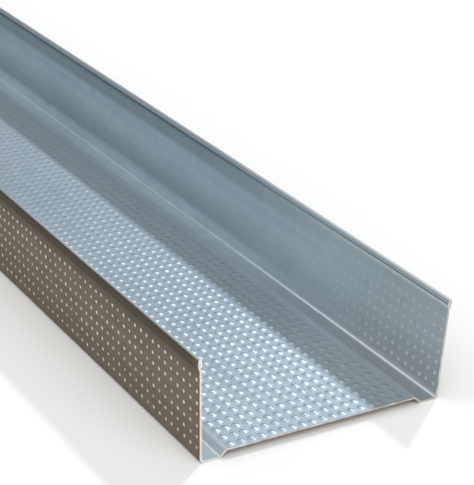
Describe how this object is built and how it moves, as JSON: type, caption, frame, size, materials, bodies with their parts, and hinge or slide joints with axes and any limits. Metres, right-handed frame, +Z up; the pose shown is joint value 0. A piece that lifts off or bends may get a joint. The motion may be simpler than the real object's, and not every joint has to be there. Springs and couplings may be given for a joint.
{
  "type": "drywall ceiling track",
  "caption": "Cold-rolled galvanised steel U track with dimpled web and flanges, stepped feet at the corners and hemmed flange edges; holds the ends of drywall profiles.",
  "frame": {"origin": "under the middle of the track's length and width, on the floor that its two feet stand on", "axes": "+X across the web, +Y along the length, +Z up out of the open side of the channel"},
  "size_m": [0.073, 2.6, 0.028],
  "materials": {
    "galvanised_sheet": "zinc-coated, cold rolled, finely dimpled"
  },
  "bodies": {
    "root": {"ceiling_track": "galvanised_sheet"}
  },
  "joints": []
}
